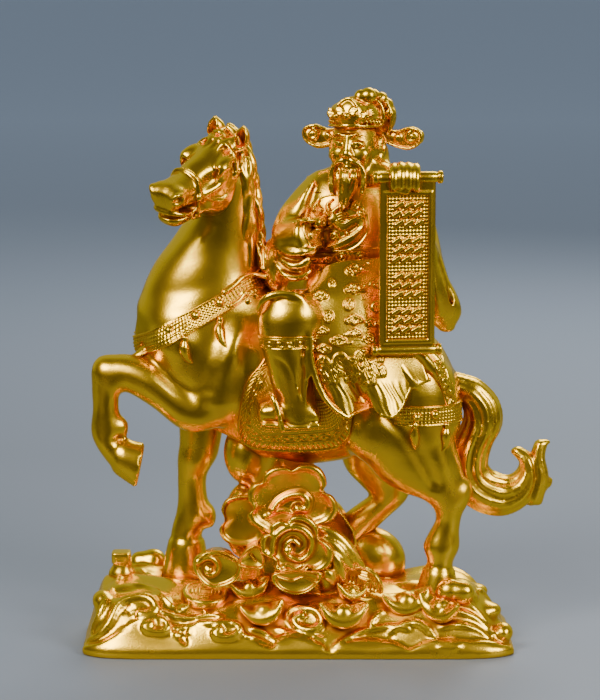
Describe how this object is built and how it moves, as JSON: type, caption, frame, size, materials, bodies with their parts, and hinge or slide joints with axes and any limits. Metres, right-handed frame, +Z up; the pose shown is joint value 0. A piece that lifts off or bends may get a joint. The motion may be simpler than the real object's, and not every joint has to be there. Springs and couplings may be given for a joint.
{
  "type": "caishen figure",
  "caption": "Gilt cast statuette of a bearded official in a winged hat riding a prancing horse with a hanging scroll, on a base of clouds, coins and ingots.",
  "frame": {"origin": "middle of the figure's box, on the plane of the table it stands on", "axes": "+Z up, the horse's front towards -X and its tail towards +X, the side with the scroll towards -Y"},
  "size_m": [0.2356, 0.099, 0.2779],
  "materials": {
    "gilt_brass": "bright gold plating on cast brass, softly polished, with redder gold left in the recesses"
  },
  "bodies": {
    "root": {"caishen_figure": "gilt_brass"}
  },
  "joints": []
}
